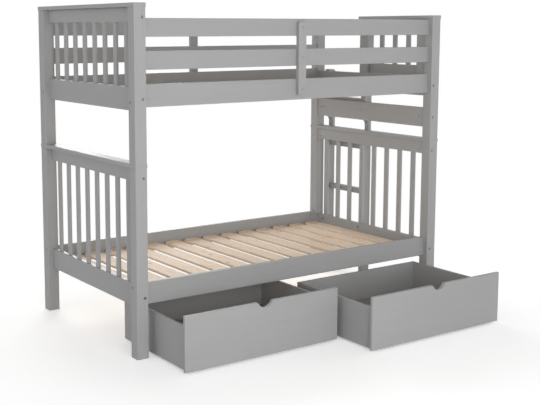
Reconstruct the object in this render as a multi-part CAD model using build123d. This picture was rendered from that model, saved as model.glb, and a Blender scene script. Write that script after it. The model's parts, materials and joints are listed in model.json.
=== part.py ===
from build123d import *
import os

# Bunk bed of painted boards with a fixed end ladder and two drawers on casters, in millimetres.
# The bed is laid out from the outer corner of its front left foot: X runs along the bed,
# Y from the front to the rear, Z up. Each piece is moved to the part's origin as it is written.

# Bed
bed_length = 2026.0
bed_width = 1097.0

# Posts
post = 63.5
post_edge = 3.0
lower_post_height = 941.0
upper_post_top_left = 1707.0
upper_post_top_right = 1659.0

# Caps, the boards that lie across the ends on top of the posts
cap_thick = 20.0
cap_overhang = 1.0
cap_edge = 3.0

# Boards between the posts
board_thick = 25.0
board_recess = 31.0
board_edge = 2.5
side_rail_height = 110.0
lower_side_rail_bottom = 263.5
upper_side_rail_bottom = 1231.0
guard_rail_height = 89.0
guard_rail_bottoms = (1409.5, 1566.5)
end_rail_height = 114.0
lower_end_rail_bottom = 246.0
upper_end_rail_bottom = 1213.0
ladder_rail_bottom = 1029.0
top_rail_height = 70.0

# Upright slats of the end panels, let into the rails above and below
end_slat_count = 8
end_slat_width = 34.0
end_slat_thick = 12.0
end_slat_margin = 70.75
end_slat_edge = 1.5
tongue_length = 10.0
mortise_gap = 0.3

# Stiles that tie the guard rails to the upper side rails at mid length
guard_stile_width = 50.0
guard_stile_bottom = 1257.0
guard_stile_top = 1639.0

# Guard panel at the head of the ladder
panel_over_ladder = 35.0
panel_inset = 12.0
panel_stile_width = 74.0
panel_rail_thick = 22.0
panel_rail_recess = 20.0
panel_low_rail_height = 61.0
panel_slat_count = 3

# Cleats and bed slats
cleat_width = 25.0
cleat_height = 30.0
cleat_rise = 4.5
cleat_end_gap = 50.0
bed_slat_count = 14
bed_slat_width = 95.0
bed_slat_thick = 14.0
bed_slat_margin = 23.0
bed_slat_end_gap = 7.0
bed_slat_corner = 35.0

# Ladder
ladder_rear_gap = 44.5
ladder_width = 391.0
upright_width = 38.0
upright_depth = 55.0
upright_corner = 20.0
upright_rise = 10.0
cap_gap = 3.0
rung_count = 4
first_rung_height = 270.0
rung_pitch = 291.0
rung_height = 34.0
rung_depth = 44.0
rung_edge = 9.0

# Frame bolts and barrel nuts
bolt_radius = 3.0
bolt_hole_gap = 0.5
bolt_head_radius = 7.5
bolt_head_thick = 4.0
bolt_recess = 5.0
bolt_recess_gap = 0.5
bolt_tip = 8.0
thread_gap = 0.05
nut_radius = 5.0
nut_length = 16.0
nut_inset = 35.0
nut_gap = 0.1
lower_side_bolt_drop = 19.5
upper_side_bolt_rise = 27.0
end_rail_bolt_rise = 60.0
top_rail_bolt_rise = 22.0
ladder_low_bolt_rise = 89.0

# Pins, dowels and screws
pin_radius = 6.0
pin_depth = 40.0
pin_gap = 0.05
dowel_radius = 4.0
dowel_depth = 20.0
dowel_spread = 40.0
dowel_gap = 0.05
screw_radius = 2.0
screw_head_radius = 4.0
screw_head_thick = 3.0
screw_recess = 4.0
rung_screw_bite = 30.0
rail_screw_bite = 20.0
screw_gap = 0.05

# Drawers
drawer_depth = 628.0
drawer_gap = 16.0
drawer_front_thick = 18.0
drawer_front_bottom = 11.0
drawer_front_top = 283.0
drawer_front_edge = 3.0
drawer_front_gap = 4.0
drawer_box_inset = 22.0
drawer_wall = 14.0
drawer_wall_bottom = 9.0
drawer_wall_top = 224.0
drawer_wall_edge = 2.0
drawer_floor_bottom = 50.0
drawer_floor_thick = 9.0
groove_depth = 5.0
groove_gap = 0.2
handle_radius = 47.0
handle_drop = 30.0
handle_shoulder = 10.0
block_length = 50.0
block_width = 22.0
block_top = 255.0
drawer_left_out = 320.0
drawer_right_out = 564.0

# Casters
wheel_radius = 18.0
wheel_width = 16.0
wheel_shoulder = 3.0
hub_width = 18.0
hub_radius = 6.0
web_outer_radius = 13.0
web_recess = 2.5
axle_radius = 2.5
axle_head_radius = 4.0
axle_head_thick = 1.5
axle_running_gap = 0.08
axle_hole_gap = 0.05
fork_metal = 2.0
fork_side_gap = 0.5
fork_plate = 40.0
fork_shoulder = 30.0
fork_foot_radius = 7.0
caster_inset = 45.0

# Working places, worked out from the sizes above
front_board = (board_recess, board_recess + board_thick)
rear_board = (bed_width - board_recess - board_thick, bed_width - board_recess)
left_board = front_board
right_board = (bed_length - board_recess - board_thick, bed_length - board_recess)
between_posts_x = (post, bed_length - post)
between_posts_y = (post, bed_width - post)
right_post_x = (bed_length - post, bed_length)
rear_post_y = (bed_width - post, bed_width)
upper_post_bottom = lower_post_height + cap_thick
guard_rail_top = guard_rail_bottoms[-1] + guard_rail_height
lower_end_rail_top = lower_end_rail_bottom + end_rail_height
upper_end_rail_top = upper_end_rail_bottom + end_rail_height
lower_top_rail_bottom = lower_post_height - top_rail_height
upper_top_rail_bottom = upper_post_top_left - top_rail_height

ladder_front = rear_post_y[0] - ladder_rear_gap - ladder_width
ladder_inner = right_board[1]
ladder_outer = ladder_inner + upright_depth
upright_spans = (
    (ladder_front, ladder_front + upright_width),
    (ladder_front + ladder_width - upright_width, ladder_front + ladder_width),
)
rung_levels = [first_rung_height + rung_pitch * i for i in range(rung_count)]
notch_depth = bed_length + cap_overhang + cap_gap - ladder_inner

panel_end = ladder_front + panel_over_ladder

drawer_closed_front = board_recess - drawer_front_gap - drawer_front_thick
drawer_left_front = drawer_closed_front - drawer_left_out
drawer_right_front = drawer_closed_front - drawer_right_out
drawer_length = (bed_length - 2 * post - 3 * drawer_gap) / 2
drawer_left_start = post + drawer_gap
drawer_right_start = drawer_left_start + drawer_length + drawer_gap

origin_x = (ladder_outer - cap_overhang) / 2
origin_y = (bed_width + cap_overhang + min(drawer_left_front, drawer_right_front)) / 2

X, Y, Z = Vector(1, 0, 0), Vector(0, 1, 0), Vector(0, 0, 1)
pieces = {}


def middle(span):
    return (span[0] + span[1]) / 2


def block(x, y, z):
    """Plain box between three pairs of limits."""
    place = Pos(middle(x), middle(y), middle(z))
    return place * Box(x[1] - x[0], y[1] - y[0], z[1] - z[0])


def board(x, y, z, along, edge=board_edge):
    """Box whose edges along its grain are eased."""
    raw = block(x, y, z)
    return fillet(raw.edges().filter_by(along), edge)


def rod(start, direction, radius, length):
    """Round bar that starts at a point and runs along a direction."""
    return Plane(origin=start, z_dir=direction) * Pos(0, 0, length / 2) * Cylinder(radius, length)


def add(node, *solids):
    pieces.setdefault(node, []).extend(solids)


def cut(node, tool):
    pieces[node] = [solid - tool for solid in pieces[node]]


def bolt_joint(outer, inner, start, direction, grip, nut_axis, inner_thick):
    """Bolt through the outer piece, whose thickness is the grip, into a barrel nut in the inner one.

    The nut axis points from the bolt to the face that the nut goes in through."""
    reach = grip + nut_inset
    hole = rod(start, direction, bolt_radius + bolt_hole_gap, reach + bolt_tip + 1)
    recess = rod(start, direction, bolt_head_radius + bolt_recess_gap, bolt_recess)
    cut(outer, hole + recess)
    nut_middle = start + direction * reach
    nut_mouth = nut_middle + nut_axis * (inner_thick / 2)
    nut_hole_depth = inner_thick / 2 + nut_length / 2 + nut_gap
    cut(inner, hole + rod(nut_mouth, nut_axis * -1, nut_radius + nut_gap, nut_hole_depth))
    seat = start + direction * bolt_recess
    head = rod(seat - direction * bolt_head_thick, direction, bolt_head_radius, bolt_head_thick)
    shank = rod(seat, direction, bolt_radius, reach + bolt_tip - bolt_recess)
    add("frame_bolts", head + shank)
    nut = rod(nut_middle - nut_axis * (nut_length / 2), nut_axis, nut_radius, nut_length)
    add("barrel_nuts", nut - rod(start, direction, bolt_radius + thread_gap, reach * 2))


def screw_joint(outer, inner, start, direction, grip, bite):
    """Screw through the outer piece and some way into the inner one, its head sunk in the outer face."""
    length = grip - screw_recess + bite
    seat = start + direction * screw_recess
    head = rod(seat - direction * screw_head_thick, direction, screw_head_radius, screw_head_thick)
    add("wood_screws", head + rod(seat, direction, screw_radius, length))
    hole = rod(seat, direction, screw_radius + screw_gap, length + 1)
    cut(outer, hole + rod(start, direction, screw_head_radius + screw_gap, screw_recess))
    cut(inner, hole)


def dowel_joint(first, second, face, direction, node, radius, depth, gap, between=0.0):
    """Dowel that runs into the first piece and as far into the second, across what is between."""
    start = face - direction * depth
    length = depth * 2 + between
    add(node, rod(start, direction, radius, length))
    hole = rod(start - direction, direction, radius + gap, length + 2)
    cut(first, hole)
    cut(second, hole)
    return hole


def side_rails(level, bottom):
    """Front and rear side rails of one bunk."""
    span = (bottom, bottom + side_rail_height)
    add(f"side_rail_{level}_front", board(between_posts_x, front_board, span, Axis.X))
    add(f"side_rail_{level}_rear", board(between_posts_x, rear_board, span, Axis.X))


def end_rail(node, x, bottom, height):
    add(node, board(x, between_posts_y, (bottom, bottom + height), Axis.Y))


def slat_row(node, low_rail, high_rail, x_middle, levels, centres):
    """Upright slats whose ends are let into the rails below and above them."""
    half_thick = end_slat_thick / 2
    x = (x_middle - half_thick, x_middle + half_thick)
    pocket_x = (x[0] - mortise_gap, x[1] + mortise_gap)
    for centre in centres:
        y = (centre - end_slat_width / 2, centre + end_slat_width / 2)
        z = (levels[0] - tongue_length, levels[1] + tongue_length)
        add(node, board(x, y, z, Axis.Z, end_slat_edge))
        pocket_y = (y[0] - mortise_gap, y[1] + mortise_gap)
        cut(low_rail, block(pocket_x, pocket_y, (z[0] - mortise_gap, levels[0] + 1)))
        cut(high_rail, block(pocket_x, pocket_y, (levels[1] - 1, z[1] + mortise_gap)))


def post_piece(node, x, y, z):
    add(node, board(x, y, z, Axis.Z, post_edge))


def bed_slats(level, rail_bottom):
    """Slats of one bunk, evenly spaced between its end rails, on the cleats."""
    top_of_cleat = rail_bottom + cleat_rise + cleat_height
    first = left_board[1] + bed_slat_margin
    last = right_board[0] - bed_slat_margin - bed_slat_width
    pitch = (last - first) / (bed_slat_count - 1)
    length = rear_board[0] - front_board[1] - 2 * bed_slat_end_gap
    outline = RectangleRounded(bed_slat_width, length, bed_slat_corner)
    for i in range(bed_slat_count):
        place = Pos(first + pitch * i + bed_slat_width / 2, bed_width / 2, top_of_cleat)
        add(f"bed_slats_{level}", place * extrude(outline, bed_slat_thick))


def cleats(rail_bottom):
    """Cleats along the inner faces of one bunk's side rails."""
    x = (between_posts_x[0] + cleat_end_gap, between_posts_x[1] - cleat_end_gap)
    z = (rail_bottom + cleat_rise, rail_bottom + cleat_rise + cleat_height)
    add("slat_cleats", block(x, (front_board[1], front_board[1] + cleat_width), z))
    add("slat_cleats", block(x, (rear_board[0] - cleat_width, rear_board[0]), z))


def ladder_upright(node, y, top):
    """Ladder side, hollowed round the lower cap and eased at the top outer corner."""
    inner, outer = ladder_inner, ladder_outer
    root = inner + notch_depth
    floor_of_notch = lower_post_height - cap_gap
    curve_start = ladder_rail_bottom - notch_depth
    middle_turn = notch_depth * 0.5**0.5
    with BuildSketch(Plane.XZ) as side:
        with BuildLine():
            Polyline((inner, 0), (outer, 0), (outer, top - upright_corner))
            RadiusArc((outer, top - upright_corner), (outer - upright_corner, top), -upright_corner)
            Polyline((outer - upright_corner, top), (inner, top), (inner, ladder_rail_bottom))
            ThreePointArc(
                (inner, ladder_rail_bottom),
                (inner + middle_turn, curve_start + middle_turn),
                (root, curve_start),
            )
            Polyline((root, curve_start), (root, floor_of_notch), (inner, floor_of_notch), (inner, 0))
        make_face()
    solid = Pos(0, y[1], 0) * extrude(side.sketch, y[1] - y[0])
    add(node, solid)


def ladder():
    """Two uprights bolted to the end rails and four rungs screwed between them."""
    ladder_upright("ladder_upright_front", upright_spans[0], upper_end_rail_top)
    ladder_upright("ladder_upright_rear", upright_spans[1], upper_end_rail_top + upright_rise)
    rung_x = middle((ladder_inner, ladder_outer))
    x = (rung_x - rung_depth / 2, rung_x + rung_depth / 2)
    y = (upright_spans[0][1], upright_spans[1][0])
    for level in rung_levels:
        z = (level - rung_height / 2, level + rung_height / 2)
        add("ladder_rungs", board(x, y, z, Axis.Y, rung_edge))
    for level in rung_levels:
        front = Vector(rung_x, upright_spans[0][0], level)
        rear = Vector(rung_x, upright_spans[1][1], level)
        screw_joint("ladder_upright_front", "ladder_rungs", front, Y, upright_width, rung_screw_bite)
        screw_joint("ladder_upright_rear", "ladder_rungs", rear, Y * -1, upright_width, rung_screw_bite)
    rails = (
        ("end_rail_lower_right", lower_end_rail_bottom + ladder_low_bolt_rise),
        ("ladder_rail", ladder_rail_bottom + end_rail_bolt_rise),
        ("end_rail_upper_right", upper_end_rail_bottom + end_rail_bolt_rise),
    )
    for rail, level in rails:
        for side, span, facing in (("front", upright_spans[0], Y), ("rear", upright_spans[1], Y * -1)):
            start = Vector(right_board[0], middle(span), level)
            upright = f"ladder_upright_{side}"
            bolt_joint(rail, upright, start, X, board_thick, facing, upright_width)


def posts_and_caps():
    """Lower posts, caps and upper posts at the four corners, held in line by steel pins."""
    left_x, right_x = (0, post), right_post_x
    front_y, rear_y = (0, post), rear_post_y
    lower = (0, lower_post_height)
    tops = {
        "front_left": upper_post_top_left,
        "rear_left": upper_post_top_left,
        "front_right": upper_post_top_right,
        "rear_right": guard_rail_top,
    }
    corners = {
        "front_left": (left_x, front_y),
        "rear_left": (left_x, rear_y),
        "front_right": (right_x, front_y),
        "rear_right": (right_x, rear_y),
    }
    cap_left_x = (-cap_overhang, post + cap_overhang)
    cap_right_x = (bed_length - post - cap_overhang, bed_length + cap_overhang)
    cap_y = (-cap_overhang, bed_width + cap_overhang)
    short_cap_y = (-cap_overhang, panel_end + cap_overhang)
    lower_cap_z = (lower_post_height, upper_post_bottom)
    left_top_z = (upper_post_top_left, upper_post_top_left + cap_thick)
    right_top_z = (upper_post_top_right, upper_post_top_right + cap_thick)
    add("cap_lower_left", board(cap_left_x, cap_y, lower_cap_z, Axis.Y, cap_edge))
    add("cap_lower_right", board(cap_right_x, cap_y, lower_cap_z, Axis.Y, cap_edge))
    add("cap_upper_left", board(cap_left_x, cap_y, left_top_z, Axis.Y, cap_edge))
    add("cap_upper_right", board(cap_right_x, short_cap_y, right_top_z, Axis.Y, cap_edge))
    for corner, (x, y) in corners.items():
        low, high = f"post_lower_{corner}", f"post_upper_{corner}"
        post_piece(low, x, y, lower)
        post_piece(high, x, y, (upper_post_bottom, tops[corner]))
        face = Vector(middle(x), middle(y), lower_post_height)
        hole = dowel_joint(low, high, face, Z, "post_pins", pin_radius, pin_depth, pin_gap, cap_thick)
        cut("cap_lower_left" if x == left_x else "cap_lower_right", hole)


def boards_between_posts():
    """Rails of the ends and sides, bolted through the posts."""
    side_rails("lower", lower_side_rail_bottom)
    side_rails("upper", upper_side_rail_bottom)
    end_rail("end_rail_lower_left", left_board, lower_end_rail_bottom, end_rail_height)
    end_rail("end_rail_lower_right", right_board, lower_end_rail_bottom, end_rail_height)
    end_rail("end_rail_upper_left", left_board, upper_end_rail_bottom, end_rail_height)
    end_rail("end_rail_upper_right", right_board, upper_end_rail_bottom, end_rail_height)
    end_rail("ladder_rail", right_board, ladder_rail_bottom, end_rail_height)
    end_rail("top_rail_lower_left", left_board, lower_top_rail_bottom, top_rail_height)
    end_rail("top_rail_lower_right", right_board, lower_top_rail_bottom, top_rail_height)
    end_rail("top_rail_upper_left", left_board, upper_top_rail_bottom, top_rail_height)

    side_bolts = {
        "lower": lower_side_rail_bottom + side_rail_height - lower_side_bolt_drop,
        "upper": upper_side_rail_bottom + upper_side_bolt_rise,
    }
    end_bolts = (
        ("lower", "left", "end_rail_lower_left", lower_end_rail_bottom + end_rail_bolt_rise),
        ("lower", "right", "end_rail_lower_right", lower_end_rail_bottom + end_rail_bolt_rise),
        ("lower", "left", "top_rail_lower_left", lower_top_rail_bottom + top_rail_bolt_rise),
        ("lower", "right", "top_rail_lower_right", lower_top_rail_bottom + top_rail_bolt_rise),
        ("upper", "left", "end_rail_upper_left", upper_end_rail_bottom + end_rail_bolt_rise),
        ("upper", "right", "end_rail_upper_right", upper_end_rail_bottom + end_rail_bolt_rise),
        ("upper", "left", "top_rail_upper_left", upper_top_rail_bottom + top_rail_bolt_rise),
        ("upper", "right", "ladder_rail", ladder_rail_bottom + end_rail_bolt_rise),
    )
    for level, height in side_bolts.items():
        for row, y, inward in (("front", front_board, Y), ("rear", rear_board, Y * -1)):
            rail = f"side_rail_{level}_{row}"
            left, right = f"post_{level}_{row}_left", f"post_{level}_{row}_right"
            bolt_joint(left, rail, Vector(0, middle(y), height), X, post, inward, board_thick)
            far = Vector(bed_length, middle(y), height)
            bolt_joint(right, rail, far, X * -1, post, inward, board_thick)
    for level, end, rail, height in end_bolts:
        x = middle(left_board if end == "left" else right_board)
        inward = X if end == "left" else X * -1
        front, rear = f"post_{level}_front_{end}", f"post_{level}_rear_{end}"
        bolt_joint(front, rail, Vector(x, 0, height), Y, post, inward, board_thick)
        bolt_joint(rear, rail, Vector(x, bed_width, height), Y * -1, post, inward, board_thick)


def guard_rails():
    """Two guard rails front and rear, dowelled into the upper posts and tied by a stile."""
    for row, y, outward in (("front", front_board, -1), ("rear", rear_board, 1)):
        node = f"guard_rails_{row}"
        stile = f"guard_stile_{row}"
        outer_face = y[0] if outward < 0 else y[1]
        stile_y = sorted((outer_face, outer_face + outward * board_thick))
        stile_x = ((bed_length - guard_stile_width) / 2, (bed_length + guard_stile_width) / 2)
        add(stile, board(stile_x, stile_y, (guard_stile_bottom, guard_stile_top), Axis.Z))
        for bottom in guard_rail_bottoms:
            z = (bottom, bottom + guard_rail_height)
            add(node, board(between_posts_x, y, z, Axis.X))
        for bottom in guard_rail_bottoms:
            for side in (-1, 1):
                level = bottom + (guard_rail_height + side * dowel_spread) / 2
                for end, x, way in (("left", between_posts_x[0], X), ("right", between_posts_x[1], X * -1)):
                    face = Vector(x, middle(y), level)
                    upper = f"post_upper_{row}_{end}"
                    dowel_joint(upper, node, face, way, "rail_dowels", dowel_radius, dowel_depth, dowel_gap)
        held = [(node, bottom + guard_rail_height / 2) for bottom in guard_rail_bottoms]
        held.append((f"side_rail_upper_{row}", upper_side_rail_bottom + side_rail_height / 2))
        for rail, level in held:
            start = Vector(bed_length / 2, outer_face + outward * board_thick, level)
            screw_joint(stile, rail, start, Y * -outward, board_thick, rail_screw_bite)


def end_panels():
    """Slats of the three end panels, centred across the bed."""
    first = between_posts_y[0] + end_slat_margin + end_slat_width / 2
    last = between_posts_y[1] - end_slat_margin - end_slat_width / 2
    pitch = (last - first) / (end_slat_count - 1)
    centres = [first + pitch * i for i in range(end_slat_count)]
    low = (lower_end_rail_top, lower_top_rail_bottom)
    high = (upper_end_rail_top, upper_top_rail_bottom)
    for end, x in (("left", middle(left_board)), ("right", middle(right_board))):
        lower_rail, top_rail = f"end_rail_lower_{end}", f"top_rail_lower_{end}"
        slat_row(f"end_slats_lower_{end}", lower_rail, top_rail, x, low, centres)
    slat_row("end_slats_upper_left", "end_rail_upper_left", "top_rail_upper_left",
             middle(left_board), high, centres)


def guard_panel():
    """Short panel that stands on the upper end rail beside the ladder's way in."""
    z = (upper_end_rail_top, upper_post_top_right)
    x = (right_post_x[0] + panel_inset, right_post_x[1])
    rail_x = (x[0] + panel_rail_recess, x[0] + panel_rail_recess + panel_rail_thick)
    front = (post, post + panel_stile_width)
    centre = (panel_end - panel_stile_width, panel_end)
    add("panel_stile_front", board(x, front, z, Axis.Z))
    add("panel_stile_centre", board(x, centre, z, Axis.Z))
    clear = (front[1], centre[0])
    low = (z[0], z[0] + panel_low_rail_height)
    high = (z[1] - top_rail_height, z[1])
    add("panel_rails", board(rail_x, clear, low, Axis.Y))
    add("panel_rails", board(rail_x, clear, high, Axis.Y))
    free = clear[1] - clear[0] - panel_slat_count * end_slat_width
    pitch = free / (panel_slat_count + 1) + end_slat_width
    centres = [clear[0] + pitch * (i + 1) - end_slat_width / 2 for i in range(panel_slat_count)]
    slat_row("panel_slats", "panel_rails", "panel_rails", middle(rail_x), (low[1], high[0]), centres)
    for stile, face, way in (("panel_stile_front", clear[0], Y), ("panel_stile_centre", clear[1], Y * -1)):
        for rail in (low, high):
            spot = Vector(middle(rail_x), face, middle(rail))
            dowel_joint(stile, "panel_rails", spot, way, "rail_dowels", dowel_radius, dowel_depth, dowel_gap)


def drawer_front(node, start, front):
    """Front board with the hand hold scooped out of its top edge."""
    face = (start, start + drawer_length)
    depth = (front, front + drawer_front_thick)
    height = (drawer_front_bottom, drawer_front_top)
    panel = block(face, depth, height)
    scoop_middle = Vector(middle(face), front - 1, drawer_front_top + handle_radius - handle_drop)
    panel -= rod(scoop_middle, Y, handle_radius, drawer_front_thick + 2)
    upright = panel.edges().filter_by(Axis.Y)
    shoulders = [
        edge
        for edge in upright
        if edge.center().Z > height[1] - 1 and abs(edge.center().X - middle(face)) < handle_radius
    ]
    panel = fillet(shoulders, handle_shoulder)
    corners = panel.edges().filter_by(Axis.Z)
    panel = fillet(corners, drawer_front_edge)
    add(node, panel)


def drawer_box(name, start, front):
    """Sides, back and floor of one drawer, with the floor held in grooves."""
    outer_x = (start + drawer_box_inset, start + drawer_length - drawer_box_inset)
    inner_x = (outer_x[0] + drawer_wall, outer_x[1] - drawer_wall)
    y = (front + drawer_front_thick, front + drawer_depth)
    back_y = (y[1] - drawer_wall, y[1])
    z = (drawer_wall_bottom, drawer_wall_top)
    walls = f"{name}_walls"
    add(walls, board((outer_x[0], inner_x[0]), y, z, Axis.Y, drawer_wall_edge))
    add(walls, board((inner_x[1], outer_x[1]), y, z, Axis.Y, drawer_wall_edge))
    add(walls, board(inner_x, back_y, z, Axis.X, drawer_wall_edge))
    floor_x = (inner_x[0] - groove_depth, inner_x[1] + groove_depth)
    floor_y = (y[0] - groove_depth, back_y[0] + groove_depth)
    floor_z = (drawer_floor_bottom, drawer_floor_bottom + drawer_floor_thick)
    add(f"{name}_floor", block(floor_x, floor_y, floor_z))
    groove = block(
        (floor_x[0] - groove_gap, floor_x[1] + groove_gap),
        (floor_y[0] - groove_gap, floor_y[1] + groove_gap),
        (floor_z[0] - groove_gap, floor_z[1] + groove_gap),
    )
    cut(walls, groove)
    cut(f"{name}_front", groove)
    block_y = (y[0], y[0] + block_width)
    block_z = (floor_z[1] + groove_gap, block_top)
    add(f"{name}_corner_blocks", block((inner_x[0], inner_x[0] + block_length), block_y, block_z))
    add(f"{name}_corner_blocks", block((inner_x[1] - block_length, inner_x[1]), block_y, block_z))


def wheel_profile():
    """Half section of a caster wheel, drawn along the axle and out to the tread."""
    half_tread = wheel_width / 2
    half_hub = hub_width / 2
    bore = axle_radius + axle_running_gap
    with BuildSketch(Plane.XZ) as section:
        with BuildLine():
            Polyline(
                (-half_hub, bore),
                (-half_hub, hub_radius),
                (-half_tread + web_recess, hub_radius),
                (-half_tread + web_recess, web_outer_radius),
                (-half_tread, web_outer_radius),
                (-half_tread, wheel_radius - wheel_shoulder),
            )
            RadiusArc(
                (-half_tread, wheel_radius - wheel_shoulder),
                (-half_tread + wheel_shoulder, wheel_radius),
                wheel_shoulder,
            )
            Line((-half_tread + wheel_shoulder, wheel_radius), (half_tread - wheel_shoulder, wheel_radius))
            RadiusArc(
                (half_tread - wheel_shoulder, wheel_radius),
                (half_tread, wheel_radius - wheel_shoulder),
                wheel_shoulder,
            )
            Polyline(
                (half_tread, wheel_radius - wheel_shoulder),
                (half_tread, web_outer_radius),
                (half_tread - web_recess, web_outer_radius),
                (half_tread - web_recess, hub_radius),
                (half_hub, hub_radius),
                (half_hub, bore),
                (-half_hub, bore),
            )
        make_face()
    return section.sketch


def fork():
    """Bent metal fork of a caster, about its wheel's middle."""
    plate_bottom = drawer_floor_bottom - wheel_radius - fork_metal
    inner = hub_width / 2 + fork_side_gap
    plate_z = (plate_bottom, plate_bottom + fork_metal)
    half_plate = fork_plate / 2
    solid = block((-half_plate, half_plate), (-half_plate, half_plate), plate_z)
    with BuildSketch(Plane.YZ) as outline:
        Circle(fork_foot_radius)
        with Locations((0, plate_bottom)):
            Rectangle(fork_shoulder, fork_metal, align=(Align.CENTER, Align.MAX))
        make_hull()
    leg = extrude(outline.sketch, fork_metal)
    solid += Pos(inner, 0, 0) * leg
    solid += Pos(-inner - fork_metal, 0, 0) * leg
    reach = inner + fork_metal + 1
    return solid - rod(Vector(-reach, 0, 0), X, axle_radius + axle_hole_gap, reach * 2)


def axle():
    """Rivet that the wheel turns on, headed outside the fork's legs."""
    half = hub_width / 2 + fork_side_gap + fork_metal
    pin = rod(Vector(-half, 0, 0), X, axle_radius, half * 2)
    left = rod(Vector(-half - axle_head_thick, 0, 0), X, axle_head_radius, axle_head_thick)
    right = rod(Vector(half, 0, 0), X, axle_head_radius, axle_head_thick)
    return pin + left + right


def drawer_casters(name, start, front):
    """Four fixed casters under one drawer's floor, their wheels free to roll along Y."""
    wheel, bracket, rivet = revolve(wheel_profile(), Axis.X), fork(), axle()
    inset = drawer_box_inset + drawer_wall + caster_inset
    xs = (start + inset, start + drawer_length - inset)
    rows = {
        "front": front + drawer_front_thick + caster_inset,
        "rear": front + drawer_depth - drawer_wall - caster_inset,
    }
    for row, y in rows.items():
        for x in xs:
            place = Pos(x, y, wheel_radius)
            add(f"{name}_casters", place * bracket)
            add(f"{name}_casters", place * rivet)
            add(f"{name}_wheels_{row}", place * wheel)


def drawer(name, start, front):
    drawer_front(f"{name}_front", start, front)
    drawer_box(name, start, front)
    drawer_casters(name, start, front)


def write_parts():
    os.makedirs("parts", exist_ok=True)
    place = Pos(-origin_x, -origin_y, 0)
    for node, solids in pieces.items():
        loose = [solid for piece in solids for solid in piece.solids()]
        export_step(Compound(children=[place * solid for solid in loose]), f"parts/{node}.step")


posts_and_caps()
boards_between_posts()
guard_rails()
end_panels()
guard_panel()
for bunk, rail_bottom in (("lower", lower_side_rail_bottom), ("upper", upper_side_rail_bottom)):
    cleats(rail_bottom)
    bed_slats(bunk, rail_bottom)
ladder()
drawer("drawer_left", drawer_left_start, drawer_left_front)
drawer("drawer_right", drawer_right_start, drawer_right_front)
write_parts()
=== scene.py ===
"""Bunk bed in grey satin lacquer, with raw pine slats, a fixed ladder and two roll-out drawers."""

import json
import math

import bmesh
import bpy
from mathutils import Matrix, Vector


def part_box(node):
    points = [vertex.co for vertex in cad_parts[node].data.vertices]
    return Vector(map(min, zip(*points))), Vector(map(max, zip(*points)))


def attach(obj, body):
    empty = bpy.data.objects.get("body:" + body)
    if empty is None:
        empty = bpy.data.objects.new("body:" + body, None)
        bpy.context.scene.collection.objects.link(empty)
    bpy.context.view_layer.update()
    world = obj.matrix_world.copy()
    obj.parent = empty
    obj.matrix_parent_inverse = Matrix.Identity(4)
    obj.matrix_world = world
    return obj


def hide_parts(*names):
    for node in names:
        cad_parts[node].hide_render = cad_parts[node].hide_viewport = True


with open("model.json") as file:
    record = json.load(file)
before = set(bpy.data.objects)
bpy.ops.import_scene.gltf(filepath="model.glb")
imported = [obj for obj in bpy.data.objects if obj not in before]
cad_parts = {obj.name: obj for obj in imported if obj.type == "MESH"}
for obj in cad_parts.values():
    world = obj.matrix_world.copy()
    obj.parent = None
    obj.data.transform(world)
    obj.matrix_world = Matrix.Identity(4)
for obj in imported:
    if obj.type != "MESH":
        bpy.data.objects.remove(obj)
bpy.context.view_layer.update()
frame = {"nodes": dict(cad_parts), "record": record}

bl_info = {
    "name": "Bunk Bed Finishes",
    "version": (1, 0, 0),
    "blender": (4, 5, 0),
    "location": "3D View > Sidebar > Bunk Bed",
    "description": "Finishes, slats, fastenings and the studio for a bunk bed with drawers",
    "category": "Object",
}

MM = 0.001


def linear(colour):
    """Scene-linear red, green, blue and alpha of an sRGB hex colour."""
    parts = [int(colour[i : i + 2], 16) / 255 for i in (1, 3, 5)]
    bright = [c / 12.92 if c <= 0.04045 else ((c + 0.055) / 1.055) ** 2.4 for c in parts]
    return (*bright, 1.0)


def per_mm(size):
    """Texture scale that makes one feature this many millimetres across."""
    return 1.0 / (size * MM)


def add_node(tree, kind, inputs=None, **settings):
    """Adds a node, sets its properties, and fills or links its inputs by name or number."""
    made = tree.nodes.new(kind)
    for name, value in settings.items():
        setattr(made, name, value)
    for key, value in (inputs or {}).items():
        if isinstance(value, bpy.types.NodeSocket):
            tree.links.new(value, made.inputs[key])
        else:
            made.inputs[key].default_value = value
    return made


# Sizes and colours a user would change


class LacquerSettings(bpy.types.PropertyGroup):
    """The grey lacquer and the grain that shows through it"""

    colour: bpy.props.StringProperty(
        name="Lacquer", description="Colour of the grey lacquer, as sRGB hex", default="#9F9F9F"
    )
    roughness: bpy.props.FloatProperty(
        name="Roughness", description="How matt the satin lacquer is", default=0.48, min=0.0, max=1.0
    )
    streak: bpy.props.FloatProperty(
        name="Streak width",
        description="Width of the grain's streaks under the lacquer",
        default=9.0 * MM,
        unit="LENGTH",
    )
    streak_length: bpy.props.FloatProperty(
        name="Streak length",
        description="Length of the grain's streaks under the lacquer",
        default=260.0 * MM,
        unit="LENGTH",
    )


class SlatSettings(bpy.types.PropertyGroup):
    """The pine slats under the mattresses"""

    count: bpy.props.IntProperty(name="Slats", description="Bed slats on each bunk", default=14, min=2)
    width: bpy.props.FloatProperty(
        name="Width", description="Width of a bed slat", default=95.0 * MM, unit="LENGTH"
    )
    corner: bpy.props.FloatProperty(
        name="Corner radius", description="Rounding of a slat's ends", default=35.0 * MM, unit="LENGTH"
    )
    edge: bpy.props.FloatProperty(
        name="Eased edge", description="Bevel along a slat's edges", default=1.6 * MM, unit="LENGTH"
    )
    seed: bpy.props.IntProperty(name="Seed", description="Picks the tone of each slat", default=7)


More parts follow.
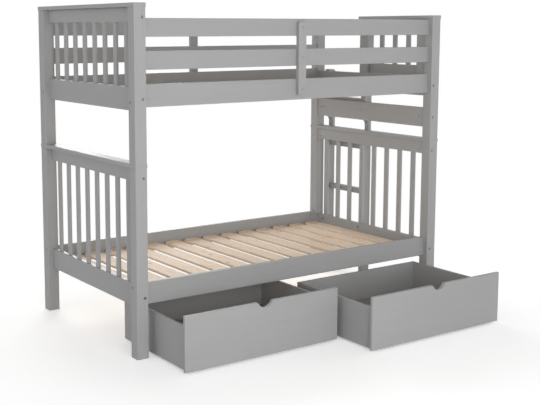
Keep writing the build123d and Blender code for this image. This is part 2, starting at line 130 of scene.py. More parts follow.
class SpindleSettings(bpy.types.PropertyGroup):
    """The upright slats of the end panels and the guard panel"""

    count: bpy.props.IntProperty(name="Slats", description="Upright slats in an end panel", default=8)
    panel_count: bpy.props.IntProperty(
        name="Panel slats", description="Upright slats in the guard panel", default=3
    )
    width: bpy.props.FloatProperty(
        name="Width", description="Width of an upright slat", default=34.0 * MM, unit="LENGTH"
    )
    edge: bpy.props.FloatProperty(
        name="Eased edge", description="Rounding of an upright slat", default=2.0 * MM, unit="LENGTH"
    )


class HardwareSettings(bpy.types.PropertyGroup):
    """The heads of bolts and screws"""

    bolt_radius: bpy.props.FloatProperty(
        name="Bolt head", description="Radius of a bolt's domed head", default=7.0 * MM, unit="LENGTH"
    )
    bolt_rise: bpy.props.FloatProperty(
        name="Dome", description="Height of a bolt's dome", default=1.9 * MM, unit="LENGTH"
    )
    screw_radius: bpy.props.FloatProperty(
        name="Screw head", description="Radius of a screw's head", default=3.9 * MM, unit="LENGTH"
    )
    screw_rise: bpy.props.FloatProperty(
        name="Screw dome", description="Height of a screw's dome", default=1.0 * MM, unit="LENGTH"
    )


class StageSettings(bpy.types.PropertyGroup):
    """The camera and the studio's light"""

    lens: bpy.props.FloatProperty(
        name="Lens", description="Focal length on a 36 mm wide film", default=65.70, unit="CAMERA"
    )
    yaw: bpy.props.FloatProperty(
        name="Yaw", description="Turn of the view from +Y towards +X", default=math.radians(33.69),
        unit="ROTATION",
    )
    pitch: bpy.props.FloatProperty(
        name="Pitch", description="How far the view looks down", default=math.radians(7.25), unit="ROTATION"
    )
    roll: bpy.props.FloatProperty(
        name="Roll", description="Turn of the picture, clockwise", default=math.radians(-0.08),
        unit="ROTATION",
    )
    position: bpy.props.FloatVectorProperty(
        name="Camera", description="Where the camera stands", default=(-3.279, -4.343, 1.605), unit="LENGTH"
    )
    shift: bpy.props.FloatVectorProperty(
        name="Film shift", description="Shift of the lens, in picture widths", default=(0.10, -0.09), size=2
    )
    key: bpy.props.FloatProperty(
        name="Key light", description="Power of the front softbox", default=112.0, unit="POWER"
    )
    fill: bpy.props.FloatProperty(
        name="Fill light", description="Power of the left softbox", default=20.0, unit="POWER"
    )
    back: bpy.props.FloatProperty(
        name="Back light", description="Power of the softbox behind the bed", default=190.0, unit="POWER"
    )
    side: bpy.props.FloatProperty(
        name="Side light", description="Power of the right softbox", default=45.0, unit="POWER"
    )
    sky: bpy.props.FloatProperty(
        name="Room light", description="Strength of the room's light at the horizon", default=1.0, min=0.0
    )


# Finishes


def new_material(name):
    material = bpy.data.materials.new(name)
    material.use_nodes = True
    tree = material.node_tree
    tree.nodes.clear()
    return material, tree


def grain_scale(tree, place, grain, across, along):
    """Coordinates squeezed so that a pattern of scale 1 is this many mm across and along the grain."""
    scale = [per_mm(across)] * 3
    scale["XYZ".index(grain)] = per_mm(along)
    squeeze = add_node(tree, "ShaderNodeMapping", {"Vector": place, "Scale": scale})
    return squeeze.outputs["Vector"]


def satin_lacquer(grain):
    """Grey polyurethane lacquer sprayed on pine and rubbed to a satin: the grain shows as faint streaks
    of tone and gloss along the board, and as shallow furrows in a low light."""
    settings = bpy.context.scene.bunk_lacquer
    material, tree = new_material(f"satin_lacquer_on_pine_{grain.lower()}")
    place = add_node(tree, "ShaderNodeTexCoord").outputs["Object"]
    wide, long = settings.streak / MM, settings.streak_length / MM
    streaks = grain_scale(tree, place, grain, wide, long)
    broad = add_node(tree, "ShaderNodeTexNoise", {"Vector": streaks, "Scale": 1.0, "Detail": 5.0,
                                                  "Roughness": 0.62, "Distortion": 0.6})
    # Broad, slow changes of tone from board to board, 14 streaks wide
    clouds_at = grain_scale(tree, place, grain, wide * 14, long * 2)
    clouds = add_node(tree, "ShaderNodeTexNoise", {"Vector": clouds_at, "Scale": 1.0, "Detail": 2.0})
    both = add_node(tree, "ShaderNodeMix", {0: 0.35, 2: broad.outputs["Fac"], 3: clouds.outputs["Fac"]})
    shade = add_node(tree, "ShaderNodeMapRange", {"Value": both.outputs[0], "From Min": 0.3,
                                                  "From Max": 0.7, "To Min": 0.955, "To Max": 1.035})
    tone = add_node(tree, "ShaderNodeVectorMath", {0: linear(settings.colour)[:3],
                                                   3: shade.outputs["Result"]}, operation="SCALE")
    gloss = add_node(tree, "ShaderNodeMapRange", {"Value": broad.outputs["Fac"], "From Min": 0.3,
                                                  "From Max": 0.7, "To Min": settings.roughness - 0.05,
                                                  "To Max": settings.roughness + 0.07})
    furrows = add_node(tree, "ShaderNodeBump", {"Height": broad.outputs["Fac"], "Strength": 0.10,
                                                "Distance": 0.4 * MM})
    shader = add_node(tree, "ShaderNodeBsdfPrincipled", {
        "Base Color": tone.outputs["Vector"], "Roughness": gloss.outputs["Result"],
        "Normal": furrows.outputs["Normal"], "IOR": 1.5, "Specular IOR Level": 0.35})
    add_node(tree, "ShaderNodeOutputMaterial", {"Surface": shader.outputs["BSDF"]})
    return material


def planed_pine(name, grain, light, dark, knot):
    """Raw pine planed and left unfinished: pale sapwood with orange late-wood lines along the board,
    small red-brown knots, and a different tone on every board."""
    material, tree = new_material(name)
    place = add_node(tree, "ShaderNodeTexCoord")
    tone = add_node(tree, "ShaderNodeAttribute", attribute_name="board_tone")
    shift = add_node(tree, "ShaderNodeVectorMath", {0: tone.outputs["Vector"], 3: 9.0}, operation="SCALE")
    turn = add_node(tree, "ShaderNodeVectorMath", {0: place.outputs["Object"],
                                                   1: shift.outputs["Vector"]}, operation="ADD")
    # Growth bands about 16 mm wide that run some 420 mm along a flat-sawn board
    bands_at = grain_scale(tree, turn.outputs["Vector"], grain, 16.0, 420.0)
    bands = add_node(tree, "ShaderNodeTexNoise", {"Vector": bands_at, "Scale": 1.0,
                                                  "Detail": 3.0, "Roughness": 0.55, "Distortion": 0.9})
    # Nine late-wood lines across the noise's range, each dark at its middle
    lines = add_node(tree, "ShaderNodeMath", {0: bands.outputs["Fac"], 1: 9.0}, operation="MULTIPLY")
    ripple = add_node(tree, "ShaderNodeMath", {0: lines.outputs["Value"], 1: 0.5}, operation="PINGPONG")
    ring = add_node(tree, "ShaderNodeMapRange", {"Value": ripple.outputs["Value"], "From Min": 0.12,
                                                 "From Max": 0.5})
    wood = add_node(tree, "ShaderNodeMix", {0: ring.outputs["Result"], 6: linear(light),
                                            7: linear(dark)}, data_type="RGBA")
    # About one knot in each 62 by 150 mm of board, 7 to 20 mm across
    knots_at = grain_scale(tree, turn.outputs["Vector"], grain, 62.0, 150.0)
    cells = add_node(tree, "ShaderNodeTexVoronoi", {"Vector": knots_at, "Scale": 1.0,
                                                    "Randomness": 1.0})
    spot = add_node(tree, "ShaderNodeMapRange", {"Value": cells.outputs["Distance"], "From Min": 0.06,
                                                 "From Max": 0.17, "To Min": 0.8, "To Max": 0.0})
    knotted = add_node(tree, "ShaderNodeMix", {0: spot.outputs["Result"], 6: wood.outputs[2],
                                               7: linear(knot)}, data_type="RGBA")
    shade = add_node(tree, "ShaderNodeMapRange", {"Value": tone.outputs["Fac"], "To Min": 0.86,
                                                  "To Max": 1.04})
    toned = add_node(tree, "ShaderNodeVectorMath", {0: knotted.outputs[2], 3: shade.outputs["Result"]},
                     operation="SCALE")
    rough = add_node(tree, "ShaderNodeBump", {"Height": bands.outputs["Fac"], "Strength": 0.25,
                                              "Distance": 0.4 * MM})
    shader = add_node(tree, "ShaderNodeBsdfPrincipled", {
        "Base Color": toned.outputs["Vector"], "Roughness": 0.62, "Normal": rough.outputs["Normal"],
        "IOR": 1.5, "Specular IOR Level": 0.3})
    add_node(tree, "ShaderNodeOutputMaterial", {"Surface": shader.outputs["BSDF"]})
    return material


def faced_board():
    """Drawer floor of hardboard faced in a warm grey: matt, with the press's fine mottle."""
    material, tree = new_material("faced_hardboard")
    place = add_node(tree, "ShaderNodeTexCoord")
    # The press's mottle is about 14 mm
    mottle = add_node(tree, "ShaderNodeTexNoise", {"Vector": place.outputs["Object"],
                                                   "Scale": per_mm(14.0), "Detail": 4.0})
    colour = add_node(tree, "ShaderNodeMix", {0: mottle.outputs["Fac"], 6: linear("#817C79"),
                                              7: linear("#938E8A")}, data_type="RGBA")
    shader = add_node(tree, "ShaderNodeBsdfPrincipled", {"Base Color": colour.outputs[2],
                                                         "Roughness": 0.6})
    add_node(tree, "ShaderNodeOutputMaterial", {"Surface": shader.outputs["BSDF"]})
    return material


def zinc_plate():
    """Zinc plate on turned steel, dulled to a mid grey: cool, with a faint turning mark."""
    material, tree = new_material("dulled_zinc_plate")
    place = add_node(tree, "ShaderNodeTexCoord")
    # Real turning marks are 0.1 mm apart; they are drawn at 2 mm so that they show
    marks = add_node(tree, "ShaderNodeTexNoise", {"Vector": place.outputs["Object"],
                                                  "Scale": per_mm(2.0), "Detail": 3.0})
    gloss = add_node(tree, "ShaderNodeMapRange", {"Value": marks.outputs["Fac"], "To Min": 0.22,
                                                  "To Max": 0.42})
    tint = add_node(tree, "ShaderNodeMix", {0: marks.outputs["Fac"], 6: linear("#7C7E81"),
                                            7: linear("#9B9DA0")}, data_type="RGBA")
    shader = add_node(tree, "ShaderNodeBsdfPrincipled", {
        "Base Color": tint.outputs[2], "Metallic": 1.0, "Roughness": gloss.outputs["Result"]})
    add_node(tree, "ShaderNodeOutputMaterial", {"Surface": shader.outputs["BSDF"]})
    return material


def socket_shadow():
    """Inside of a hex or cross recess: a near-black painted shade for the shadow in the recess, seen only
    as a dark mark.
    """
    material, tree = new_material("socket_oxide")
    place = add_node(tree, "ShaderNodeTexCoord")
    # Grit in the painted shade, drawn at 1.5 mm, which is as coarse as it needs to show
    grit = add_node(tree, "ShaderNodeTexNoise", {"Vector": place.outputs["Object"],
                                                 "Scale": per_mm(1.5)})
    colour = add_node(tree, "ShaderNodeMix", {0: grit.outputs["Fac"], 6: linear("#2A2A2B"),
                                              7: linear("#444446")}, data_type="RGBA")
    shader = add_node(tree, "ShaderNodeBsdfPrincipled", {"Base Color": colour.outputs[2],
                                                         "Metallic": 0.6, "Roughness": 0.5})
    add_node(tree, "ShaderNodeOutputMaterial", {"Surface": shader.outputs["BSDF"]})
    return material


def caster_nylon():
    """Black moulded nylon of the wheels: satin, dulled on the tread."""
    material, tree = new_material("moulded_nylon")
    place = add_node(tree, "ShaderNodeTexCoord")
    # Moulded texture and scuffs of about 3 mm
    grain = add_node(tree, "ShaderNodeTexNoise", {"Vector": place.outputs["Object"],
                                                  "Scale": per_mm(3.0), "Detail": 2.0})
    gloss = add_node(tree, "ShaderNodeMapRange", {"Value": grain.outputs["Fac"], "To Min": 0.38,
                                                  "To Max": 0.55})
    colour = add_node(tree, "ShaderNodeMix", {0: grain.outputs["Fac"], 6: linear("#1D1D1E"),
                                              7: linear("#2A2A2B")}, data_type="RGBA")
    shader = add_node(tree, "ShaderNodeBsdfPrincipled", {"Base Color": colour.outputs[2],
                                                         "Roughness": gloss.outputs["Result"]})
    add_node(tree, "ShaderNodeOutputMaterial", {"Surface": shader.outputs["BSDF"]})
    return material


finishes = {}


def finish(name, maker, *words):
    """The finish of that name, made once."""
    if name not in finishes:
        finishes[name] = maker(*words)
    return finishes[name]


def lacquer(grain):
    return finish(f"lacquer_{grain}", satin_lacquer, grain)


def slat_pine():
    return finish("slat_pine", planed_pine, "planed_pine_slats", "Y", "#F2E0CB", "#E2C6A8", "#B98B66")


def block_pine():
    return finish("block_pine", planed_pine, "planed_pine_blocks", "Z", "#EECFA6", "#DDB283", "#A87046")


def dress(node, material):
    """Gives a carried-over piece its finish."""
    mesh = frame["nodes"][node].data
    mesh.materials.clear()
    mesh.materials.append(material)


# Geometry Nodes


def new_tree(name, **inputs):
    """Empty Geometry Nodes tree with a geometry output and one named input for each size."""
    tree = bpy.data.node_groups.new(name, "GeometryNodeTree")
    tree.interface.new_socket("Geometry", in_out="OUTPUT", socket_type="NodeSocketGeometry")
    tree.interface.new_socket("Geometry", in_out="INPUT", socket_type="NodeSocketGeometry")
    for label, kind in inputs.items():
        tree.interface.new_socket(label.replace("_", " "), in_out="INPUT", socket_type=kind)
    return tree, add_node(tree, "NodeGroupInput")


def row_of_bars_tree():
    """Row of like bars: a rounded section swept along each bar, with the bars at even steps."""
    number, whole = "NodeSocketFloat", "NodeSocketInt"
    tree, given = new_tree(
        "row_of_bars", Count=whole, Start="NodeSocketVector", Step="NodeSocketVector",
        Run="NodeSocketVector", Width=number, Height=number, Corner=number, Corner_Steps=whole,
        Seed=whole, Finish="NodeSocketMaterial")
    value = given.outputs
    section = add_node(tree, "GeometryNodeCurvePrimitiveQuadrilateral",
                       {"Width": value["Width"], "Height": value["Height"]}, mode="RECTANGLE")
    rounded = add_node(tree, "GeometryNodeFilletCurve", {
        "Curve": section.outputs["Curve"], "Radius": value["Corner"], "Count": value["Corner Steps"]},
        mode="POLY")
    spine = add_node(tree, "GeometryNodeCurvePrimitiveLine", {"Start": (0.0, 0.0, 0.0),
                                                              "End": value["Run"]})
    bar = add_node(tree, "GeometryNodeCurveToMesh", {"Curve": spine.outputs["Curve"],
                                                     "Profile Curve": rounded.outputs["Curve"],
                                                     "Fill Caps": True})
    points = add_node(tree, "GeometryNodeMeshLine", {"Count": value["Count"],
                                                     "Start Location": value["Start"],
                                                     "Offset": value["Step"]})
    tone = add_node(tree, "FunctionNodeRandomValue", {"Seed": value["Seed"]}, data_type="FLOAT_VECTOR")
    marked = add_node(tree, "GeometryNodeStoreNamedAttribute", {
        "Geometry": points.outputs["Mesh"], "Name": "board_tone", 3: tone.outputs[0]},
        data_type="FLOAT_VECTOR", domain="POINT")
    bars = add_node(tree, "GeometryNodeInstanceOnPoints", {"Points": marked.outputs["Geometry"],
                                                           "Instance": bar.outputs["Mesh"]})
    real = add_node(tree, "GeometryNodeRealizeInstances", {"Geometry": bars.outputs["Instances"]})
    painted = add_node(tree, "GeometryNodeSetMaterial", {"Geometry": real.outputs["Geometry"],
                                                         "Material": value["Finish"]})
    add_node(tree, "NodeGroupOutput", {"Geometry": painted.outputs["Geometry"]})
    return tree


def domed_heads_tree():
    """Domed fastener heads with a recess, one on each point, facing along the point's own direction."""
    number, whole = "NodeSocketFloat", "NodeSocketInt"
    tree, given = new_tree("domed_heads", Radius=number, Rise=number, Recess_Radius=number,
                           Recess_Sides=whole, Metal="NodeSocketMaterial",
                           Recess_Finish="NodeSocketMaterial")
    value = given.outputs
    # Half of each flattened ball stands out of the CAD head; the recess is cut down to that head's face
    ball = add_node(tree, "GeometryNodeMeshUVSphere", {"Segments": 24, "Rings": 12, "Radius": 1.0})
    squash = add_node(tree, "ShaderNodeCombineXYZ", {"X": value["Radius"], "Y": value["Radius"],
                                                     "Z": value["Rise"]})
    dome = add_node(tree, "GeometryNodeTransform", {"Geometry": ball.outputs["Mesh"],
                                                    "Scale": squash.outputs["Vector"]})
    metal = add_node(tree, "GeometryNodeSetMaterial", {"Geometry": dome.outputs["Geometry"],
                                                       "Material": value["Metal"]})
    cutter = add_node(tree, "GeometryNodeMeshCylinder", {
        "Vertices": value["Recess Sides"], "Radius": value["Recess Radius"], "Depth": value["Rise"]})
    lift = add_node(tree, "ShaderNodeMath", {0: value["Rise"], 1: 0.7}, operation="MULTIPLY")
    up = add_node(tree, "ShaderNodeCombineXYZ", {"Z": lift.outputs["Value"]})
    raised = add_node(tree, "GeometryNodeTransform", {"Geometry": cutter.outputs["Mesh"],
                                                      "Translation": up.outputs["Vector"]})
    # The recess walls take the recess finish, a near-black painted shade for the shadow in the hollow
    dark = add_node(tree, "GeometryNodeSetMaterial", {"Geometry": raised.outputs["Geometry"],
                                                      "Material": value["Recess Finish"]})
    head = add_node(tree, "GeometryNodeMeshBoolean", {
        "Mesh 1": metal.outputs["Geometry"], "Mesh 2": dark.outputs["Geometry"]},
        operation="DIFFERENCE", solver="EXACT")
    facing = add_node(tree, "GeometryNodeInputNamedAttribute", {"Name": "facing"},
                      data_type="FLOAT_VECTOR")
    turn = add_node(tree, "FunctionNodeAlignRotationToVector", {"Vector": facing.outputs[0]}, axis="Z")
    placed = add_node(tree, "GeometryNodeInstanceOnPoints", {
        "Points": value["Geometry"], "Instance": head.outputs["Mesh"],
        "Rotation": turn.outputs["Rotation"]})
    real = add_node(tree, "GeometryNodeRealizeInstances", {"Geometry": placed.outputs["Instances"]})
    add_node(tree, "NodeGroupOutput", {"Geometry": real.outputs["Geometry"]})
    return tree


trees = {}


def grow(piece, maker, **values):
    """Runs a tree on a piece's own points and keeps the result as a plain mesh."""
    if maker.__name__ not in trees:
        trees[maker.__name__] = maker()
    tree = trees[maker.__name__]
    modifier = piece.modifiers.new("grow", "NODES")
    modifier.node_group = tree
    for item in tree.interface.items_tree:
        label = item.name.replace(" ", "_")
        if item.in_out == "INPUT" and label in values:
            modifier[item.identifier] = values[label]
    bpy.context.view_layer.update()
    evaluated = piece.evaluated_get(bpy.context.evaluated_depsgraph_get())
    mesh = bpy.data.meshes.new_from_object(evaluated)
    if not mesh.polygons:
        raise RuntimeError(f"the tree made no faces for {piece.name}")
    mesh.name = piece.name
    piece.modifiers.remove(modifier)
    piece.data = mesh


def seed_piece(name, points=(), facings=()):
    """Object whose points are where a tree sets its copies, each with the way that it faces."""
    mesh = bpy.data.meshes.new(f"{name}_points")
    mesh.from_pydata([tuple(p) for p in points], [], [])
    if facings:
        attribute = mesh.attributes.new("facing", "FLOAT_VECTOR", "POINT")
        for i, way in enumerate(facings):
            attribute.data[i].vector = way
    piece = bpy.data.objects.new(name, mesh)
    bpy.context.scene.collection.objects.link(piece)
    return piece


def ease_edges(piece, width, steps=2):
    """Rounds a piece's sharp edges and shades it smooth between them."""
    modifier = piece.modifiers.new("ease", "BEVEL")
    modifier.width = width
    modifier.segments = steps
    modifier.limit_method = "ANGLE"
    modifier.angle_limit = math.radians(50)
    modifier.harden_normals = True
    piece.data.shade_smooth()


# Pieces


class LacquerBoards(bpy.types.Operator):
    """Finishes every painted board in grey satin lacquer, with the grain along the board"""

    bl_idname = "bunk.lacquer_boards"
    bl_label = "Lacquer Boards"

    def execute(self, context):
        for part in frame["record"]["subparts"]:
            if part["material_slot"] == "grey_paint":
                low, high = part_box(part["node"])
                spans = list(high - low)
                dress(part["node"], lacquer("XYZ"[spans.index(max(spans))]))
        return {"FINISHED"}


class DressTimber(bpy.types.Operator):
    """Finishes the cleats, dowels, corner blocks and drawer floors"""

    bl_idname = "bunk.dress_timber"
    bl_label = "Dress Timber"

    def execute(self, context):
        dress("slat_cleats", slat_pine())
        dress("rail_dowels", slat_pine())
        for side in ("left", "right"):
            dress(f"drawer_{side}_corner_blocks", block_pine())
            dress(f"drawer_{side}_floor", finish("board", faced_board))
        return {"FINISHED"}


class DressHardware(bpy.types.Operator):
    """Finishes the bolts, nuts, pins, screws, casters and wheels"""

    bl_idname = "bunk.dress_hardware"
    bl_label = "Dress Hardware"

    def execute(self, context):
        zinc = finish("zinc", zinc_plate)
        for node in ("frame_bolts", "barrel_nuts", "post_pins", "wood_screws"):
            dress(node, zinc)
        for side in ("left", "right"):
            dress(f"drawer_{side}_casters", zinc)
            for row in ("front", "rear"):
                dress(f"drawer_{side}_wheels_{row}", finish("nylon", caster_nylon))
        return {"FINISHED"}


class LaySlats(bpy.types.Operator):
    """Lays the pine slats of both bunks, each of its own tone"""

    bl_idname = "bunk.lay_slats"
    bl_label = "Lay Slats"

    def execute(self, context):
        settings = context.scene.bunk_slats
        for level in ("lower", "upper"):
            node = f"bed_slats_{level}"
            low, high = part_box(node)
            piece = slat_row(f"pine_slats_{level}", low, high, settings)
            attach(piece, "frame")
            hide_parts(node)
        return {"FINISHED"}


def slat_row(name, low, high, settings):
    """Bed slats, drawn flat as a rounded outline and raised to their thickness."""
    width = settings.width
    length, thick = high.y - low.y, high.z - low.z
    step = (high.x - low.x - width) / (settings.count - 1)
    start = Vector((low.x + width / 2, (low.y + high.y) / 2, low.z))
    piece = seed_piece(name)
    grow(piece, row_of_bars_tree, Count=settings.count, Start=start,
         Step=Vector((step, 0.0, 0.0)), Run=Vector((0.0, 0.0, thick)), Width=width, Height=length,
         Corner=settings.corner, Corner_Steps=8, Seed=settings.seed, Finish=slat_pine())
    ease_edges(piece, settings.edge)
    return piece


class SetSpindles(bpy.types.Operator):
    """Sets the upright slats of the end panels and of the guard panel"""

    bl_idname = "bunk.set_spindles"
    bl_label = "Set Upright Slats"

    def execute(self, context):
        settings = context.scene.bunk_spindles
        rows = {
            "end_slats_lower_left": settings.count,
            "end_slats_lower_right": settings.count,
            "end_slats_upper_left": settings.count,
            "panel_slats": settings.panel_count,
        }
        for node, count in rows.items():
            low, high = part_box(node)
            step = (high.y - low.y - settings.width) / (count - 1)
            start = Vector(((low.x + high.x) / 2, low.y + settings.width / 2, low.z))
            piece = seed_piece(f"lacquered_{node}")
            grow(piece, row_of_bars_tree, Count=count, Start=start,
                 Step=Vector((0.0, step, 0.0)), Run=Vector((0.0, 0.0, high.z - low.z)),
                 Width=high.x - low.x, Height=settings.width, Corner=settings.edge,
                 Corner_Steps=3, Seed=1, Finish=lacquer("Z"))
            piece.data.shade_smooth()
            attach(piece, "frame")
            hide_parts(node)
        return {"FINISHED"}


class CapFasteners(bpy.types.Operator):
    """Caps each frame bolt and each screw with its domed head and recess"""

    bl_idname = "bunk.cap_fasteners"
    bl_label = "Cap Fasteners"

    def execute(self, context):
        settings = context.scene.bunk_hardware
        # The recesses get a near-black painted shade in place of their shadow
        zinc, recess_painted_shade = finish("zinc", zinc_plate), finish("recess_painted_shade", socket_shadow)
        kinds = {
            "frame_bolts": (settings.bolt_radius, settings.bolt_rise, 6),
            "wood_screws": (settings.screw_radius, settings.screw_rise, 4),
        }
        for node, (radius, rise, sides) in kinds.items():
            ends = fastener_ends(node)
            piece = seed_piece(f"{node}_heads", [end for end, way in ends], [way for end, way in ends])
            grow(piece, domed_heads_tree, Radius=radius, Rise=rise,
                 Recess_Radius=radius * 0.42, Recess_Sides=sides, Metal=zinc, Recess_Finish=recess_painted_shade)
            piece.data.shade_smooth()
            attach(piece, "frame")
        return {"FINISHED"}


def fastener_ends(node):
    """Middle of each fastener's head and the way that it faces, read from the CAD node's solids."""
    whole = bmesh.new()
    whole.from_mesh(frame["nodes"][node].data)
    bmesh.ops.remove_doubles(whole, verts=whole.verts, dist=0.001 * MM)
    left, ends = set(whole.verts), []
    while left:
        group, edge = set(), [left.pop()]
        while edge:
            corner = edge.pop()
            group.add(corner)
            near = {side.other_vert(corner) for side in corner.link_edges} & left
            left -= near
            edge.extend(near)
        ends.append(head_of([corner.co.copy() for corner in group]))
    whole.free()
    return sorted(ends, key=lambda end: tuple(end[0]))


def head_of(corners):
    """Middle of the wider end of a headed pin, and the way out along its length."""
    low = Vector([min(c[i] for c in corners) for i in range(3)])
    high = Vector([max(c[i] for c in corners) for i in range(3)])
    spans = list(high - low)
    along = spans.index(max(spans))
    centre = (low + high) / 2
    near_low = [c for c in corners if c[along] < low[along] + 0.5 * MM]
    near_high = [c for c in corners if c[along] > high[along] - 0.5 * MM]
    spread = [max((c - centre).cross(axis_way(along)).length for c in end) for end in (near_low, near_high)]
    outward = -1.0 if spread[0] > spread[1] else 1.0
    centre[along] = low[along] if outward < 0 else high[along]
    return centre, axis_way(along) * outward


def axis_way(along):
    """Unit vector along the axis of that number."""
    return Vector([1.0 if i == along else 0.0 for i in range(3)])


def aim(location, yaw, pitch, roll):
    """Camera matrix that looks along a compass turn and a dip, with the picture turned clockwise."""
    ahead = Vector((math.sin(yaw) * math.cos(pitch), math.cos(yaw) * math.cos(pitch), -math.sin(pitch)))
    right = Vector((math.cos(yaw), -math.sin(yaw), 0.0))
    down = ahead.cross(right)
    turned_right = right * math.cos(roll) - down * math.sin(roll)
    turned_down = right * math.sin(roll) + down * math.cos(roll)
    axes = Matrix((turned_right, -turned_down, -ahead)).transposed()
    return Matrix.Translation(location) @ axes.to_4x4()


def softbox(name, place, target, size, power):
    """Square studio light that faces a point."""
    lamp = bpy.data.lights.new(name, "AREA")
    lamp.shape = "SQUARE"
    lamp.size = size
    lamp.energy = power
    light = bpy.data.objects.new(name, lamp)
    bpy.context.scene.collection.objects.link(light)
    light.location = place
    light.rotation_euler = (Vector(target) - Vector(place)).to_track_quat("-Z", "Y").to_euler()


class SetStage(bpy.types.Operator):
    """Sets the white floor, the room's light, the softboxes and the camera"""

    bl_idname = "bunk.set_stage"
    bl_label = "Set Stage"

    def execute(self, context):
        settings = context.scene.bunk_stage
        self.lay_floor()
        self.light_room(context, settings)
        lamps = (
            ("front_softbox", (-1.5, -4.8, 1.3), (0.0, -0.3, 0.4), 2.4, settings.key),
            ("left_softbox", (-5.0, 0.2, 1.5), (0.0, 0.2, 0.8), 3.0, settings.fill),
            ("back_softbox", (1.2, 5.2, 1.9), (0.0, 0.0, 0.4), 3.0, settings.back),
            ("right_softbox", (5.0, -0.6, 1.5), (0.0, 0.0, 0.8), 2.6, settings.side),
        )
        for lamp in lamps:
            softbox(*lamp)
        self.place_camera(context, settings)
        context.scene.view_settings.view_transform = "Standard"
        return {"FINISHED"}

    def lay_floor(self):
        half = 30.0
        mesh = bpy.data.meshes.new("studio_floor")
        corners = [(-half, -half, 0.0), (half, -half, 0.0), (half, half, 0.0), (-half, half, 0.0)]
        mesh.from_pydata(corners, [], [(0, 1, 2, 3)])
        floor = bpy.data.objects.new("studio_floor", mesh)
        bpy.context.scene.collection.objects.link(floor)
        floor.data.materials.append(white_floor())

    def light_room(self, context, settings):
        world = bpy.data.worlds.new("studio_room")
        world.use_nodes = True
        tree = world.node_tree
        tree.nodes.clear()
        path = add_node(tree, "ShaderNodeLightPath")
        seen = add_node(tree, "ShaderNodeMath", {0: path.outputs["Is Camera Ray"],
                                                 1: path.outputs["Is Glossy Ray"]}, operation="MAXIMUM")
        clear = add_node(tree, "ShaderNodeMath", {0: seen.outputs["Value"],
                                                  1: path.outputs["Is Transmission Ray"]},
                         operation="MAXIMUM")
        way = add_node(tree, "ShaderNodeTexCoord")
        height = add_node(tree, "ShaderNodeSeparateXYZ", {"Vector": way.outputs["Generated"]})
        # The room is bright at eye level and dim overhead, so the boards' tops don't wash out
        glow = add_node(tree, "ShaderNodeMapRange", {"Value": height.outputs["Z"], "To Min": settings.sky,
                                                     "To Max": settings.sky * 0.1})
        strength = add_node(tree, "ShaderNodeMix", {0: clear.outputs["Value"], 2: glow.outputs["Result"],
                                                    3: 1.0})
        light = add_node(tree, "ShaderNodeBackground", {"Color": (1.0, 1.0, 1.0, 1.0),
                                                        "Strength": strength.outputs[0]})
        add_node(tree, "ShaderNodeOutputWorld", {"Surface": light.outputs["Background"]})
        context.scene.world = world

    def place_camera(self, context, settings):
        lens = bpy.data.cameras.new("photo_camera")
        lens.sensor_width = 36.0
        lens.lens = settings.lens
        lens.shift_x, lens.shift_y = settings.shift
        lens.clip_end = 100.0
        camera = bpy.data.objects.new("photo_camera", lens)
        context.scene.collection.objects.link(camera)
        camera.matrix_world = aim(settings.position, settings.yaw, settings.pitch, settings.roll)
        context.scene.camera = camera


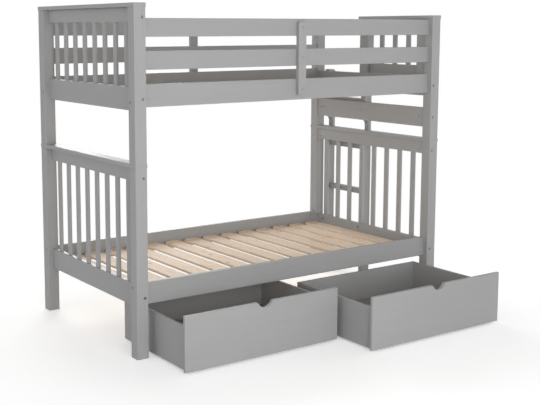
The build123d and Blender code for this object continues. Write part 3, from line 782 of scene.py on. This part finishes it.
def white_floor():
    """Seamless white paper: as white as the room where the light reaches it, and a soft grey
    in the shadow of the bed."""
    material, tree = new_material("seamless_paper")
    path = add_node(tree, "ShaderNodeLightPath")
    place = add_node(tree, "ShaderNodeTexCoord")
    # Faint clouding of the paper, about 40 mm
    fibre = add_node(tree, "ShaderNodeTexNoise", {"Vector": place.outputs["Object"],
                                                  "Scale": per_mm(40.0)})
    tint = add_node(tree, "ShaderNodeMix", {0: fibre.outputs["Fac"], 6: linear("#F4F4F4"),
                                            7: linear("#FAFAFA")}, data_type="RGBA")
    paper = add_node(tree, "ShaderNodeBsdfDiffuse", {"Color": tint.outputs[2]})
    glow = add_node(tree, "ShaderNodeEmission", {"Color": (1.0, 1.0, 1.0, 1.0), "Strength": 0.36})
    lit = add_node(tree, "ShaderNodeAddShader", {0: paper.outputs["BSDF"], 1: glow.outputs["Emission"]})
    room = add_node(tree, "ShaderNodeEmission", {"Color": (1.0, 1.0, 1.0, 1.0), "Strength": 1.0})
    # From 1.25 m away from the bed's middle the paper blends into the white room
    reach = add_node(tree, "ShaderNodeVectorMath", {0: place.outputs["Object"]}, operation="LENGTH")
    away = add_node(tree, "ShaderNodeMapRange", {"Value": reach.outputs["Value"], "From Min": 1.25,
                                                 "From Max": 2.3})
    seen = add_node(tree, "ShaderNodeMixShader", {0: away.outputs["Result"], 1: lit.outputs["Shader"],
                                                  2: room.outputs["Emission"]})
    shown = add_node(tree, "ShaderNodeMixShader", {0: path.outputs["Is Camera Ray"],
                                                   1: paper.outputs["BSDF"], 2: seen.outputs["Shader"]})
    add_node(tree, "ShaderNodeOutputMaterial", {"Surface": shown.outputs["Shader"]})
    return material


class BunkPanel(bpy.types.Panel):
    """Sizes, colours and steps of the bunk bed"""

    bl_label = "Bunk Bed"
    bl_idname = "VIEW3D_PT_bunk_bed"
    bl_space_type = "VIEW_3D"
    bl_region_type = "UI"
    bl_category = "Bunk Bed"

    def draw(self, context):
        layout = self.layout
        for group in settings_groups:
            settings = getattr(context.scene, group)
            box = layout.box()
            for name in settings.__annotations__:
                box.prop(settings, name)
        for step in steps:
            layout.operator(step.bl_idname)


settings_groups = {
    "bunk_lacquer": LacquerSettings,
    "bunk_slats": SlatSettings,
    "bunk_spindles": SpindleSettings,
    "bunk_hardware": HardwareSettings,
    "bunk_stage": StageSettings,
}
steps = (LacquerBoards, DressTimber, DressHardware, LaySlats, SetSpindles, CapFasteners, SetStage)


def register():
    for group, settings in settings_groups.items():
        bpy.utils.register_class(settings)
        setattr(bpy.types.Scene, group, bpy.props.PointerProperty(type=settings))
    for made in (*steps, BunkPanel):
        bpy.utils.register_class(made)


def unregister():
    for made in reversed((*steps, BunkPanel)):
        bpy.utils.unregister_class(made)
    for group, settings in reversed(settings_groups.items()):
        delattr(bpy.types.Scene, group)
        bpy.utils.unregister_class(settings)


def main():
    register()
    for step in steps:
        group, name = step.bl_idname.split(".")
        getattr(getattr(bpy.ops, group), name)()


if __name__ == "__main__":
    main()
